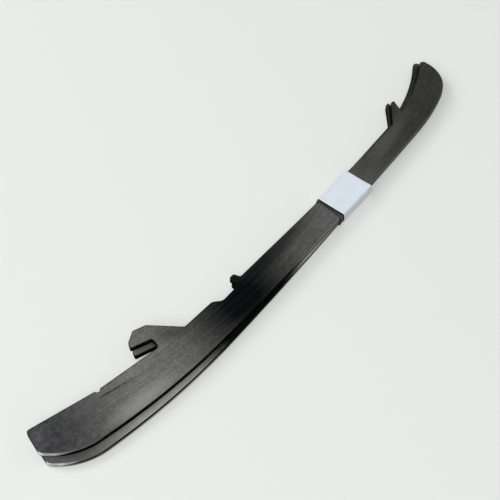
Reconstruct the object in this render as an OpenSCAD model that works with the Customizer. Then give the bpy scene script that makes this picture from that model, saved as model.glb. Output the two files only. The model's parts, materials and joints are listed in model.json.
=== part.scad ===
// A pair of ice hockey skate runners, laid flat one on the other and slightly crossed,
// bound together at the waist by a turn of dark tape with a white label wrapped over it.
//
// Each runner is drawn in its own plane: x runs from the heel end to the toe end, and y from
// the ice edge up to the edge that seats in the skate's holder. The steel lies flat, so its
// thickness runs along z. The part's origin is on the swivel axis of the pair, in the middle
// of the band, at the level of the surface that the pair rests on.

/* [Steel] */
// Length of a runner from heel end to toe end
runner_length = 288; // [240:1:346]
// Thickness of the steel
runner_thickness = 3; // [2.5:0.1:3.6]

/* [Ice edge] */
// Radius of the long rocker that meets the ice
rocker_radius = 2130; // [1800:10:3400]
// Distance of the rocker's lowest point from the heel end
rocker_low_x = 143; // [135:1:165]
// Radius of the blend between the rocker and the heel
heel_blend_radius = 330; // [280:5:390]
// Slope of the ice edge, in degrees, where that blend ends
heel_blend_turn = 13.5; // [11:0.5:15]
// Radius of the round under the heel
heel_round_radius = 33; // [28:1:39]
// Slope of the ice edge, in degrees, where that round ends
heel_round_turn = 57.5; // [50:0.5:65]
// Radius of the small corner behind the heel
heel_corner_radius = 3.5; // [2.5:0.5:5]
// Lean of the heel end from upright, in degrees
heel_lean = 18; // [14:1:22]
// Radius of the blend between the rocker and the toe
toe_blend_radius = 116; // [96:2:140]
// Slope of the ice edge, in degrees, where that blend ends
toe_blend_turn = 16; // [13:0.5:19]
// Radius of the upswept toe nose
toe_nose_radius = 18.5; // [16:0.5:22]
// Radius of the hollow ground along the ice edge
hollow_radius = 12.7; // [9.5:0.1:19.1]
// Flat land left at each side of the hollow
edge_land = 0.08; // [0.06:0.01:0.2]

/* [Holder edge at the heel] */
// Slope of the heel edge, in degrees
heel_edge_slope = 17; // [14:0.5:20]
// Distance of the relief notch from the heel end
relief_x = 36.8; // [30:0.2:44]
// Height of the holder edge at the relief notch
relief_height = 26.6; // [24:0.2:30]
// Radius of the relief notch
relief_radius = 1.3; // [1:0.1:2]
// Height of the relief's centre above the corner that it clears
relief_lift = 0.3; // [0:0.1:0.5]
// Slope of the edge between the relief notch and the slot, in degrees
slot_floor_slope = 11; // [9:0.5:13]
// Distance of the bottom of the heel slot from the heel end
slot_end_x = 69.8; // [64:0.2:76]
// Height of the heel slot at its closed end
slot_height = 5.3; // [4.6:0.1:6.4]
// Slope of the slot's roof, in degrees, which opens towards the heel
slot_roof_slope = 23; // [19:0.5:26]
// Depth of the heel slot from its mouth to its closed end
slot_depth = 9.8; // [8.2:0.2:11.8]
// Height of the heel hook's blunt nose
hook_nose_rise = 2.6; // [2:0.1:3.2]
// Lean of that nose, towards the toe
hook_nose_lean = 1.6; // [1.2:0.1:2]
// Height of the hook's peak above its nose
hook_peak_rise = 2.65; // [2:0.05:3.2]
// Distance of the hook's peak from its nose
hook_peak_run = 5.8; // [4.8:0.2:7]
// Width of the hook's sloping top, towards the toe
hook_crown_run = 6; // [5:0.2:7.4]
// Drop of the hook's sloping top, towards the toe
hook_crown_drop = 2.5; // [2:0.1:3]
// Slope of the hook's back, in degrees
hook_back_slope = 54; // [48:1:62]

/* [Holder edge at the waist] */
// Height of the raised edge behind the heel hook, at the hook's root
raised_height = 18.2; // [17:0.2:20]
// Drop of that raised edge along its length
raised_drop = 1; // [0.7:0.1:1.3]
// Distance of the shoulder, where the raised edge ends, from the heel end
shoulder_x = 102.4; // [96:0.2:106]
// Slope of the shoulder, in degrees
shoulder_slope = 43; // [38:1:52]
// Height of the low edge between the shoulder and the locating tab
low_edge_height = 13.75; // [12:0.25:15]
// Distance of the locating tab's middle from the heel end
tab_x = 118.8; // [114:0.2:124]
// Width of the tab at its top
tab_top_width = 2.9; // [2.4:0.1:3.6]
// Height of the tab's top
tab_top = 19.3; // [18.4:0.1:21]
// Flare of the tab's toe side from its top to its root
tab_flare = 1.2; // [0.6:0.1:2]
// Height of the edge on the toe side of the tab
tab_edge_height = 15.85; // [15.2:0.05:17.2]
// Height of the holder edge at the waist, under the band
waist_height = 13.85; // [12.4:0.05:15]
// Radius of the shallow dip at the waist
waist_radius = 1500; // [1200:50:1700]

/* [Holder edge at the toe] */
// Distance of the toe hook's root from the toe end
toe_hook_root = 46.4; // [42:0.2:52]
// Height of the holder edge at the toe hook's root
toe_root_height = 14.3; // [13:0.1:16]
// Slope of the toe hook's back, in degrees
toe_hook_slope = 39.5; // [36:0.5:43]
// Height of the toe hook's tip
toe_hook_top = 23.3; // [22:0.1:25]
// Width of the toe hook's tip
toe_hook_tip = 2.8; // [2.3:0.1:3.3]
// Rise of that tip towards the toe
toe_hook_tip_rise = 0.3; // [0:0.1:0.5]
// Distance of the bottom of the toe notch from the toe end
toe_notch_from_toe = 36.4; // [35:0.1:38]
// Height of the bottom of the toe notch
toe_notch_height = 16; // [15:0.1:17]
// Radius of the concave edge between the toe notch and the tip
toe_edge_radius = 91; // [84:1:96]
// Slope of the toe edge, in degrees, where it leaves the notch
toe_edge_start = 8.5; // [7.5:0.5:10]
// Slope of the toe edge, in degrees, where it reaches the tip
toe_edge_turn = 29; // [27:0.5:30]

/* [Corner radii] */
// Round at the top of the heel
heel_tip_round = 1.5; // [1:0.1:2]
// Round at the floor of the slot's closed end
slot_floor_round = 1.8; // [1.2:0.1:2.1]
// Round at the roof of the slot's closed end
slot_roof_round = 0.9; // [0.6:0.1:1.1]
// Round at each corner of the heel hook
hook_round = 0.8; // [0.6:0.1:0.96]
// Round where an inside corner meets the holder edge
root_round = 1; // [0.8:0.1:1.2]
// Round at the top and foot of the shoulder
shoulder_round = 3.2; // [2.6:0.1:3.8]
// Round at the corners of the locating tab
tab_round = 0.7; // [0.5:0.1:0.84]
// Round at the tip of the toe hook
toe_hook_round = 0.7; // [0.5:0.1:0.84]
// Round at the bottom of the toe notch
toe_notch_round = 0.5; // [0.4:0.1:0.6]
// Round at the toe tip
toe_tip_round = 2; // [1.6:0.1:2.4]

/* [Binding] */
// Distance of the middle of the band from the toe end
band_from_toe = 97; // [80:1:116]
// Length of the label along the runners
label_length = 22.5; // [18:0.5:27]
// Thickness of the label
label_thickness = 0.15; // [0.1:0.01:0.2]
// Thickness of the tape under the label
tape_thickness = 0.35; // [0.25:0.05:0.45]
// Width of tape that shows past the label on the heel side
tape_show = 1.3; // [1:0.1:1.6]
// Set-back of the tape under the label on the toe side
tape_set_back = 1; // [0.8:0.1:1.2]
// Round of the band's inner corners
band_inner_round = 0.08; // [0.05:0.01:0.1]

/* [Fit of the pair] */
// Turn of the lower runner under the upper one, in degrees
cross_angle = 1.6; // [0:0.1:2]
// Shift of the lower runner towards its holder edge, under the upper one
cross_shift = 0.8; // [0:0.1:1]
// Room between a runner's edges and the band
edge_room = 0.1; // [0.08:0.01:0.2]
// Sliding clearance above and below the lower runner
slip_gap = 0.05; // [0.04:0.01:0.06]

/* [Hidden] */

// Colours of the pieces
lower_steel = [0.27, 0.28, 0.28];
upper_steel = [0.33, 0.33, 0.32];
tape_black = [0.06, 0.06, 0.07];
label_white = [0.83, 0.87, 0.91];

// How far a cutting shape reaches past the edge that it trims, and how deep it starts inside
cut_reach = 40;
cut_root = 2;
// How far a corner's rounding shape reaches past the corner
corner_spill = 0.4;
// How far a round or an arc lies out past its tangent place, so that it crosses its neighbours cleanly
crossing = 0.002;
// How far the outline runs below the ice line before the ice edge is cut
blank_drop = 2;
// Depth of the slice of the grinding wheel that bites into the steel, and how far it runs out
wheel_bite = 1;
wheel_runout = 0.4;
// How far the cut of one arc of the ice edge runs on past the start of the next, tighter one
arc_lap = 4;

// Number of facets of a circle of radius r
function facets(r) = r > 400 ? 2880 : r > 20 ? 360 : 72;

// Unit vector towards a point of an arc below its centre: 0 degrees is straight down,
// positive turns lean towards the toe and negative turns towards the heel
function toward(turn) = [sin(turn), -cos(turn)];

// The ice edge is a chain of arcs, each tangent to the next. The rocker gives way to the first
// blend at the slope that makes the whole chain end at the heel or the toe.
heel_reach = heel_blend_radius * sin(heel_blend_turn)
    + heel_round_radius * (sin(heel_round_turn) - sin(heel_blend_turn))
    + heel_corner_radius * (1 - sin(heel_round_turn));
toe_reach = toe_blend_radius * sin(toe_blend_turn)
    + toe_nose_radius * (1 - sin(toe_blend_turn));
heel_rocker_turn = asin((rocker_low_x - heel_reach) / (rocker_radius - heel_blend_radius));
toe_rocker_turn = asin((runner_length - rocker_low_x - toe_reach) / (rocker_radius - toe_blend_radius));

// Centre of the tighter arc that follows an arc at a turn
function next_centre(centre, r, next_r, turn) = centre + (r - next_r + crossing) * toward(turn);

rocker_centre = [rocker_low_x, rocker_radius];
heel_blend_centre = next_centre(rocker_centre, rocker_radius, heel_blend_radius, -heel_rocker_turn);
heel_round_centre = next_centre(heel_blend_centre, heel_blend_radius, heel_round_radius, -heel_blend_turn);
heel_corner_centre = next_centre(heel_round_centre, heel_round_radius, heel_corner_radius, -heel_round_turn);
toe_blend_centre = next_centre(rocker_centre, rocker_radius, toe_blend_radius, toe_rocker_turn);
toe_nose_centre = next_centre(toe_blend_centre, toe_blend_radius, toe_nose_radius, toe_blend_turn);

// Each arc of the ice edge: centre, radius, and the turns at its two ends
rocker_arc = [rocker_centre, rocker_radius, -heel_rocker_turn, toe_rocker_turn];
heel_blend_arc = [heel_blend_centre, heel_blend_radius, -heel_rocker_turn, -heel_blend_turn];
heel_round_arc = [heel_round_centre, heel_round_radius, -heel_blend_turn, -heel_round_turn];
heel_corner_arc = [heel_corner_centre, heel_corner_radius, -heel_round_turn, -90 - heel_lean];
toe_blend_arc = [toe_blend_centre, toe_blend_radius, toe_rocker_turn, toe_blend_turn];
toe_nose_arc = [toe_nose_centre, toe_nose_radius, toe_blend_turn, 90];

// An arc that runs on past its start, its end or both, where the next arc lies inside it
function lapped(arc, at_start, at_end) =
    let (way = arc[3] > arc[2] ? 1 : -1, lap = arc_lap / arc[1] * 180 / PI)
    [arc[0], arc[1], arc[2] - way * lap * at_start, arc[3] + way * lap * at_end];

// The arcs that are ground, from the rocker out to the heel and the toe
ground_arcs = [
    lapped(rocker_arc, 1, 1),
    lapped(heel_blend_arc, 0, 1),
    lapped(heel_round_arc, 0, 1),
    lapped(toe_blend_arc, 0, 1),
    toe_nose_arc,
];

// Height of the rocker at a distance from the heel end
function rocker_height(x) = rocker_radius - sqrt(pow(rocker_radius, 2) - pow(x - rocker_low_x, 2));

// Point of a line that starts at a point and rises by a slope, at a distance along x
function along(start, slope, run) = start + run * [1, tan(slope)];

// The heel: the leaning end meets the heel edge at the heel tip
heel_edge_foot = [relief_x, relief_height];
heel_end_point = heel_corner_centre + (heel_corner_radius - crossing) * toward(-90 - heel_lean);
heel_lean_run = tan(heel_lean);
heel_tip_rise = (relief_height + (relief_x - heel_end_point.x) * tan(heel_edge_slope) - heel_end_point.y)
    / (1 + heel_lean_run * tan(heel_edge_slope));
heel_tip = heel_end_point + heel_tip_rise * [heel_lean_run, 1];
heel_foot = heel_end_point - (heel_end_point.y + blank_drop) * [heel_lean_run, 1];

// The heel slot and the hook over it
slot_floor = along(heel_edge_foot, -slot_floor_slope, slot_end_x - relief_x);
slot_roof = slot_floor + slot_height * [tan(slot_floor_slope), 1];
hook_mouth = along(slot_roof, -slot_roof_slope, -slot_depth);
hook_nose = hook_mouth + [hook_nose_lean, hook_nose_rise];
hook_peak = hook_nose + [hook_peak_run, hook_peak_rise];
hook_crown = hook_peak + [hook_crown_run, -hook_crown_drop];
hook_root = along(hook_crown, -hook_back_slope, (hook_crown.y - raised_height) / tan(hook_back_slope));

// The raised edge, the shoulder and the locating tab
shoulder_top = [shoulder_x, raised_height - raised_drop];
shoulder_run = (shoulder_top.y - low_edge_height) / tan(shoulder_slope);
shoulder_foot = along(shoulder_top, -shoulder_slope, shoulder_run);
tab_heel_side = tab_x - tab_top_width / 2;
tab_toe_side = tab_x + tab_top_width / 2;
tab_foot = [tab_toe_side + tab_flare, tab_edge_height];

// The waist: two straight edges that meet in a shallow dip under the band. The dip's radius is
// limited by the shorter of the two edges.
band_x = runner_length - band_from_toe;
waist = [band_x, waist_height];
toe_root_point = [runner_length - toe_hook_root, toe_root_height];
function slope(a, b) = (b.y - a.y) / (b.x - a.x);
waist_heel_slope = slope(tab_foot, waist);
waist_toe_slope = slope(waist, toe_root_point);
waist_half_turn = abs(atan(waist_toe_slope) - atan(waist_heel_slope)) / 2;
waist_run = min(waist.x - tab_foot.x - tab_round, toe_root_point.x - waist.x - root_round);
waist_round = min(waist_radius, waist_run / tan(waist_half_turn));

// The toe hook and the notch in front of it
toe_hook_back = along(toe_root_point, toe_hook_slope, (toe_hook_top - toe_root_height) / tan(toe_hook_slope));
toe_hook_front = toe_hook_back + [toe_hook_tip, toe_hook_tip_rise];
toe_notch = [runner_length - toe_notch_from_toe, toe_notch_height];

// The toe edge: its concave round starts clear of the notch's own round and ends at the tip
toe_edge_run = toe_edge_radius * tan((toe_edge_turn - toe_edge_start) / 2) + 2 * toe_notch_round;
toe_edge_corner = along(toe_notch, toe_edge_start, toe_edge_run * cos(toe_edge_start));
toe_tip = along(toe_edge_corner, toe_edge_turn, runner_length - toe_edge_corner.x);

// Corners of the holder edge from heel to toe: x, y and the radius of the round there
holder_corners = [
    [heel_tip.x, heel_tip.y, heel_tip_round],
    [heel_edge_foot.x, heel_edge_foot.y, 0],
    [slot_floor.x, slot_floor.y, slot_floor_round],
    [slot_roof.x, slot_roof.y, slot_roof_round],
    [hook_mouth.x, hook_mouth.y, hook_round],
    [hook_nose.x, hook_nose.y, hook_round],
    [hook_peak.x, hook_peak.y, hook_round],
    [hook_crown.x, hook_crown.y, hook_round],
    [hook_root.x, hook_root.y, root_round],
    [shoulder_top.x, shoulder_top.y, shoulder_round],
    [shoulder_foot.x, shoulder_foot.y, shoulder_round],
    [tab_heel_side, low_edge_height, tab_round],
    [tab_heel_side, tab_top, tab_round],
    [tab_toe_side, tab_top, tab_round],
    [tab_foot.x, tab_foot.y, tab_round],
    [waist.x, waist.y, waist_round],
    [toe_root_point.x, toe_root_point.y, root_round],
    [toe_hook_back.x, toe_hook_back.y, toe_hook_round],
    [toe_hook_front.x, toe_hook_front.y, toe_hook_round],
    [toe_notch.x, toe_notch.y, toe_notch_round],
    [toe_edge_corner.x, toe_edge_corner.y, toe_edge_radius],
    [toe_tip.x, toe_tip.y, toe_tip_round],
];
blank_corners = concat(
    [[heel_foot.x, heel_foot.y, 0]],
    holder_corners,
    [[runner_length, -blank_drop, 0]]
);

// How far the pair reaches across the band. The runners' edges are taken at the tape's two ends,
// the lower runner's both as it lies and turned back in line with the upper one.
label_start = -label_length / 2;
tape_start = label_start - tape_show;
tape_end = label_start + label_length - tape_set_back;
waist_low = rocker_height(band_x);
band_y = (waist_low + waist_height) / 2;
dip_rise = max(0, waist_round * (1 / cos(waist_half_turn) - 1));
function ice_side(x) = rocker_height(band_x + x) - band_y;
function holder_side(x) = waist_height - band_y + dip_rise + x * (x < 0 ? waist_heel_slope : waist_toe_slope);
function turned(x, turn) = cross_shift + x * sin(turn);
tape_ends = [tape_start, tape_end];
swivel_ends = [0, cross_angle];
upper_ice = min([for (x = tape_ends) ice_side(x)]) - edge_room;
upper_holder = max([for (x = tape_ends) holder_side(x)]) + edge_room;
lower_ice = min([for (x = tape_ends, turn = swivel_ends) ice_side(x) + turned(x, turn)]) - edge_room;
lower_holder = max([for (x = tape_ends, turn = swivel_ends) holder_side(x) + turned(x, turn)]) + edge_room;

// Levels of the pair in the band
bore_floor = label_thickness + tape_thickness;
lower_z = bore_floor + slip_gap;
upper_z = lower_z + runner_thickness + slip_gap;
bore_roof = upper_z + runner_thickness;

// Section of the band around both runners, grown outwards from its bore: its walls stand along
// the runner that reaches further and lean towards the other one
function band_section(grow) = [
    for (corner = [
        [lower_ice - grow, bore_floor - grow],
        [min(lower_ice, upper_ice) - grow, upper_z],
        [upper_ice - grow, bore_roof + grow],
        [upper_holder + grow, bore_roof + grow],
        [max(lower_holder, upper_holder) + grow, upper_z],
        [lower_holder + grow, bore_floor - grow],
    ]) [corner.x, corner.y, band_inner_round + grow]
];

// Positive where the path through three points turns left, and a vector of length 1
function turn_left(a, b, c) = (b.x - a.x) * (c.y - b.y) - (b.y - a.y) * (c.x - b.x);
function unit(v) = v / norm(v);

// The small shape between a corner and the round that replaces it. It is added at an inside
// corner and taken away at an outside one.
module corner_sliver(before, corner, after, r) {
    to_before = unit(before - corner);
    to_after = unit(after - corner);
    half_angle = acos(to_before * to_after) / 2;
    inward = unit(to_before + to_after);
    first = corner + to_before * r / tan(half_angle);
    last = corner + to_after * r / tan(half_angle);
    spill = inward * corner_spill;
    difference() {
        polygon([first, last, last - spill, corner - spill, first - spill]);
        translate(corner + inward * (r / sin(half_angle) - crossing))
            circle(r = r, $fn = facets(r));
    }
}

// The slivers of every corner that bends the given way: 1 for inside corners, -1 for outside ones
module corner_slivers(points, rounds, way) {
    count = len(points);
    for (i = [0 : count - 1]) {
        before = points[(i + count - 1) % count];
        after = points[(i + 1) % count];
        if (rounds[i] > 0 && way * turn_left(before, points[i], after) > 0)
            corner_sliver(before, points[i], after, rounds[i]);
    }
}

// An outline with true round corners. Each corner holds x, y and its radius, in clockwise order.
module rounded(corners) {
    points = [for (corner = corners) [corner.x, corner.y]];
    rounds = [for (corner = corners) corner[2]];
    difference() {
        union() {
            polygon(points);
            corner_slivers(points, rounds, 1);
        }
        corner_slivers(points, rounds, -1);
    }
}

// Everything outside one arc of the ice edge
module outside_arc(arc) {
    centre = arc[0];
    r = arc[1];
    start = arc[2];
    end = arc[3];
    outer = r + cut_reach;
    inner = r - cut_root;
    difference() {
        polygon([
            centre + inner * toward(start),
            centre + outer * toward(start),
            centre + outer / cos((end - start) / 2) * toward((start + end) / 2),
            centre + outer * toward(end),
            centre + inner * toward(end)
        ]);
        translate(centre) circle(r = r, $fn = facets(r));
    }
}

// Outline of one runner
module runner_outline() {
    difference() {
        rounded(blank_corners);
        translate(heel_edge_foot + [0, relief_lift])
            circle(r = relief_radius, $fn = facets(relief_radius));
        for (arc = ground_arcs) outside_arc(arc);
        outside_arc(heel_corner_arc);
    }
}

// The hollow that a grinding wheel leaves along one arc of the ice edge, between two sharp edges
module hollow_grind(arc) {
    r = arc[1];
    half_chord = runner_thickness / 2 - edge_land;
    wheel_offset = sqrt(pow(hollow_radius, 2) - pow(half_chord, 2));
    translate([arc[0].x, arc[0].y, runner_thickness / 2])
        rotate([0, 0, min(arc[2], arc[3]) - 90])
            rotate_extrude(angle = abs(arc[3] - arc[2]), $fn = facets(r))
                intersection() {
                    translate([r + wheel_offset, 0])
                        circle(r = hollow_radius, $fn = facets(hollow_radius));
                    translate([r - wheel_bite, -runner_thickness])
                        square([wheel_bite + wheel_runout, 2 * runner_thickness]);
                }
}

// One runner, lying on z = 0 in its own frame
module runner() {
    difference() {
        linear_extrude(height = runner_thickness) runner_outline();
        for (arc = ground_arcs) hollow_grind(arc);
    }
}

// A runner in the band, turned and shifted about the swivel axis
module banded_runner(turn, shift, z) {
    translate([0, shift, z]) rotate([0, 0, turn]) translate([-band_x, -band_y, 0]) runner();
}

// A wrap around the pair, between two distances from the band's bore
module wrap(start, end, inner, outer) {
    translate([start, 0, 0]) rotate([90, 0, 90]) linear_extrude(height = end - start)
        difference() {
            rounded(band_section(outer));
            rounded(band_section(inner));
        }
}

module lower_runner() {
    color(lower_steel) banded_runner(cross_angle, cross_shift, lower_z);
}

module upper_runner() {
    color(upper_steel) banded_runner(0, 0, upper_z);
}

module binding_tape() {
    color(tape_black) wrap(tape_start, tape_end, 0, tape_thickness);
}

module label_band() {
    color(label_white)
        wrap(label_start, label_start + label_length, tape_thickness, tape_thickness + label_thickness);
}

lower_runner();
upper_runner();
binding_tape();
label_band();
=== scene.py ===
# %% [markdown]
# # A bound pair of hockey skate runners
#
# Two flat steel runners lie on each other, slightly crossed. A turn of dark tape holds them at the
# waist, and a white paper label is wrapped over the tape. The steel keeps its exact modelled shape
# and gets a ground, worn finish from shader nodes. Tape and paper are soft, so both are made here
# as thin bent sheets.

# %% Load the exact shapes
import bpy
import json
import math
from collections import namedtuple
from types import SimpleNamespace
from mathutils import Matrix, Vector, geometry, noise


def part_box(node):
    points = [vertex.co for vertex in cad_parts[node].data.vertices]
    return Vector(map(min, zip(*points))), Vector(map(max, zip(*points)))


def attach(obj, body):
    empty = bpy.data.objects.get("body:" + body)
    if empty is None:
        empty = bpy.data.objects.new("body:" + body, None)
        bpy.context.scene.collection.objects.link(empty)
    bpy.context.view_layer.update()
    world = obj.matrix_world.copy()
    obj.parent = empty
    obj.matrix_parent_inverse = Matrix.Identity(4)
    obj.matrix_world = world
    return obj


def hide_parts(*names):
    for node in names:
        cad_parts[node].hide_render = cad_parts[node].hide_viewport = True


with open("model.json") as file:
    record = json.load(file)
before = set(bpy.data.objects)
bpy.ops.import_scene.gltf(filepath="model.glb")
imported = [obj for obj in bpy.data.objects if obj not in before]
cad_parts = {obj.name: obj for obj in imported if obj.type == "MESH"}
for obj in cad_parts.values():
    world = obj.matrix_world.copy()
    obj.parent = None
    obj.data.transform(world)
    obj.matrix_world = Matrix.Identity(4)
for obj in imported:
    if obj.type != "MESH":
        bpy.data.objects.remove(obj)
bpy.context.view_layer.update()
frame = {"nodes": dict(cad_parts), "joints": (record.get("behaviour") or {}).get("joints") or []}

# %% [markdown]
# ## The view
#
# A product photo is taken from above the heel, with a long lens and little perspective. A camera
# could be aimed with a constraint, but a heading, a pitch and a small roll say the same thing in
# numbers that a photographer would recognise, and they stay put.

# %% Camera
MM = 0.001
camera_place = Vector((-309.1, -191.5, 461.4)) * MM
camera_heading = math.radians(-50.925)
camera_pitch = math.radians(54.285)
camera_roll = math.radians(0.374)
camera_lens = 86.4
camera_sensor = 36
nearest_seen = 0.01

camera_data = bpy.data.cameras.new("view")
camera_data.lens = camera_lens
camera_data.sensor_width = camera_sensor
camera_data.clip_start = nearest_seen
camera = bpy.data.objects.new("view", camera_data)
turn = Matrix.Rotation(camera_heading, 4, "Z")
tilt = Matrix.Rotation(math.pi / 2 - camera_pitch, 4, "X")
roll = Matrix.Rotation(-camera_roll, 4, "Z")
camera.matrix_world = Matrix.Translation(camera_place) @ turn @ tilt @ roll
bpy.context.scene.collection.objects.link(camera)
bpy.context.scene.camera = camera
print("camera at", [round(v, 3) for v in camera_place])

# %% [markdown]
# ## Building shaders in code
#
# Every finish below is a small graph of nodes. A graph could be drawn by hand in the shader editor,
# but in code each effect has a name and its numbers stay in sight. One helper adds a node and fills
# its inputs with numbers or with other nodes' outputs. One opens a node group, which is an effect
# that several materials can share, and one starts a material.

# %% Helpers for node graphs
FLOAT = "NodeSocketFloat"
VECTOR = "NodeSocketVector"


def place(tree, kind, inputs=(), **settings):
    """Adds one node, sets its properties, and fills its inputs with values or links."""
    node = tree.nodes.new(kind)
    for name, value in settings.items():
        setattr(node, name, value)
    for socket, source in dict(inputs).items():
        if isinstance(source, bpy.types.NodeSocket):
            tree.links.new(source, node.inputs[socket])
        else:
            node.inputs[socket].default_value = source
    return node


def new_group(name, inputs, outputs):
    """Opens a shader node group with named sockets, and gives its inner inputs and outputs."""
    group = bpy.data.node_groups.new(name, "ShaderNodeTree")
    for label, kind, value in inputs:
        socket = group.interface.new_socket(label, in_out="INPUT", socket_type=kind)
        socket.default_value = value
    for label, kind in outputs:
        group.interface.new_socket(label, in_out="OUTPUT", socket_type=kind)
    inner_inputs = group.nodes.new("NodeGroupInput").outputs
    inner_outputs = group.nodes.new("NodeGroupOutput").inputs
    return group, inner_inputs, inner_outputs


def new_material(name):
    """An empty node material with its one shader, ready for links."""
    material = bpy.data.materials.new(name)
    material.use_nodes = True
    tree = material.node_tree
    return material, tree, tree.nodes["Principled BSDF"]


print("helpers for nodes, groups and materials")

# %% [markdown]
# ## Masks
#
# A mask is a number from 0 to 1 that says how strongly an effect shows at a point. Masks combine
# like areas on paper: a product keeps what lies in all of them, and a maximum what lies in any. A
# ramp turns a measure, such as a distance in millimetres, into a mask with a soft border.

# %% Helpers for masks
def math_node(tree, operation, first, second=0.0, third=0.0):
    """One sum, product or other operation on numbers, as an output socket."""
    return place(tree, "ShaderNodeMath", {0: first, 1: second, 2: third}, operation=operation).outputs[0]


def all_of(tree, first, *others):
    """Where every one of the masks is strong: their product."""
    for other in others:
        first = math_node(tree, "MULTIPLY", first, other)
    return first


def any_of(tree, first, *others):
    """Where at least one of the masks is strong: their maximum."""
    for other in others:
        first = math_node(tree, "MAXIMUM", first, other)
    return first


def outside(tree, mask):
    """Where a mask is weak: one minus it."""
    return math_node(tree, "SUBTRACT", 1.0, mask)


def ramp(tree, value, start, end, low=0.0, high=1.0):
    """A value that goes from low at start to high at end, as an output socket."""
    return place(tree, "ShaderNodeMapRange",
                 {"Value": value, "From Min": start, "From Max": end,
                  "To Min": low, "To Max": high}).outputs[0]


def stretch(tree, along, rise, fall):
    """A mask for one stretch of a length: it rises over two places and falls over two others."""
    return all_of(tree, ramp(tree, along, *rise), ramp(tree, along, *fall))


print("helpers for masks")

# %% [markdown]
# ## Colours
#
# A colour is written as it looks in even light, as red, green and blue. Colours are mixed by masks,
# one over the other, the way thin coats of paint build up. A Mix node has sockets for several kinds
# of data, and those for colours are picked by number.

# %% Helpers for colours
MIX_FACTOR = 0
MIX_FIRST = 6
MIX_SECOND = 7
MIX_RESULT = 2


def tone(red, green=None, blue=None):
    """A colour from its three shares, or a grey from one."""
    if green is None:
        return (red, red, red, 1)
    return (red, green, blue, 1)


def mixed(tree, factor, first, second):
    """A mix of two colours, as an output socket."""
    inputs = {MIX_FACTOR: factor, MIX_FIRST: first, MIX_SECOND: second}
    return place(tree, "ShaderNodeMix", inputs, data_type="RGBA").outputs[MIX_RESULT]


def layered(tree, colour, layers):
    """A colour with others laid over it, each through a mask and at its own strength."""
    for mask, strength, cover in layers:
        colour = mixed(tree, math_node(tree, "MULTIPLY", mask, strength), colour, cover)
    return colour


print("helpers for colours")

# %% [markdown]
# ## Floor
#
# The pair lies on a plain pale table. A flat plane would end at a dark horizon, so the table is a
# wide disc whose rim sweeps up, and every side view has a pale ground behind it.

# %% Floor shape
floor_level = -0.02 * MM
floor_flat_radius = 1.3
floor_rim_radius = 0.9
floor_rim_sweep = math.radians(80)
floor_rings = 24
floor_sides = 96

profile = [(floor_flat_radius, 0.0)]
for ring in range(1, floor_rings + 1):
    angle = floor_rim_sweep * ring / floor_rings
    profile.append((floor_flat_radius + floor_rim_radius * math.sin(angle),
                    floor_rim_radius * (1 - math.cos(angle))))
floor_points = [(0.0, 0.0, floor_level)]
for radius, height in profile:
    for side in range(floor_sides):
        angle = 2 * math.pi * side / floor_sides
        floor_points.append((radius * math.cos(angle), radius * math.sin(angle), floor_level + height))
floor_faces = []
for side in range(floor_sides):
    after = (side + 1) % floor_sides
    floor_faces.append((0, 1 + side, 1 + after))
    for ring in range(floor_rings):
        start = 1 + ring * floor_sides
        floor_faces.append((start + side, start + floor_sides + side,
                            start + floor_sides + after, start + after))
floor_mesh = bpy.data.meshes.new("table")
floor_mesh.from_pydata(floor_points, [], floor_faces)
floor_mesh.shade_smooth()
floor = bpy.data.objects.new("table", floor_mesh)
bpy.context.scene.collection.objects.link(floor)
print("floor with", len(floor_faces), "faces")

# %% [markdown]
# More lamps would make the table paler, but they would wash out the steel as well. The table glows a
# little instead. Only the camera and mirroring surfaces see that glow, so it lights nothing else, and
# the table keeps the pair's soft shadow.

# %% Floor material
floor_tone = tone(0.51, 0.52, 0.505)
floor_glow = tone(0.325, 0.332, 0.32)

floor_material, tree, shader = new_material("pale_table")
shader.inputs["Base Color"].default_value = floor_tone
shader.inputs["Roughness"].default_value = 0.7
shader.inputs["Specular IOR Level"].default_value = 0.2
shader.inputs["Emission Color"].default_value = floor_glow
ray = place(tree, "ShaderNodeLightPath").outputs
seen = any_of(tree, ray["Is Camera Ray"], ray["Is Glossy Ray"], ray["Is Transmission Ray"])
tree.links.new(seen, shader.inputs["Emission Strength"])
floor_mesh.materials.append(floor_material)
print("floor tone", floor_tone[:3], "and glow", floor_glow[:3])

# %% [markdown]
# ## Lamps
#
# A large soft lamp beyond the heel and another beyond the holder edges light the table and put a
# broad sheen on the steel. A weak low lamp on the ice side opens the shadow of the walls. Point lamps
# would leave hard shadows and small glints. Area lamps are soft, and a metal mirrors their shape. The
# room itself gives next to nothing.

# %% Lamps and room
lamp_aim = (0.0, 0.0, 0.0)
lamp_plan = [("panel_lamp", (-1.0, -0.2, 1.2), (1.8, 1.2), 17),
             ("side_lamp", (-0.38, 1.25, 1.15), (1.0, 0.9), 14),
             ("low_lamp", (0.0, -1.4, 0.45), (1.4, 0.5), 1.4)]
room_tone = tone(0.95, 0.98, 1.0)
room_strength = 0.02


def soft_lamp(name, spot, aim, size, power):
    """A rectangular area lamp at a spot, in metres, that looks at another, unseen by the camera."""
    data = bpy.data.lights.new(name, "AREA")
    data.shape = "RECTANGLE"
    data.size, data.size_y = size
    data.energy = power
    lamp = bpy.data.objects.new(name, data)
    lamp.location = spot
    lamp.rotation_euler = (Vector(spot) - Vector(aim)).to_track_quat("Z", "Y").to_euler()
    lamp.visible_camera = False
    bpy.context.scene.collection.objects.link(lamp)


for name, spot, size, power in lamp_plan:
    soft_lamp(name, spot, lamp_aim, size, power)
world = bpy.data.worlds.new("room")
world.use_nodes = True
world.node_tree.nodes["Background"].inputs["Color"].default_value = room_tone
world.node_tree.nodes["Background"].inputs["Strength"].default_value = room_strength
bpy.context.scene.world = world
bpy.context.scene.view_settings.view_transform = "Standard"
print("lamps:", [plan[0] for plan in lamp_plan])

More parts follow.
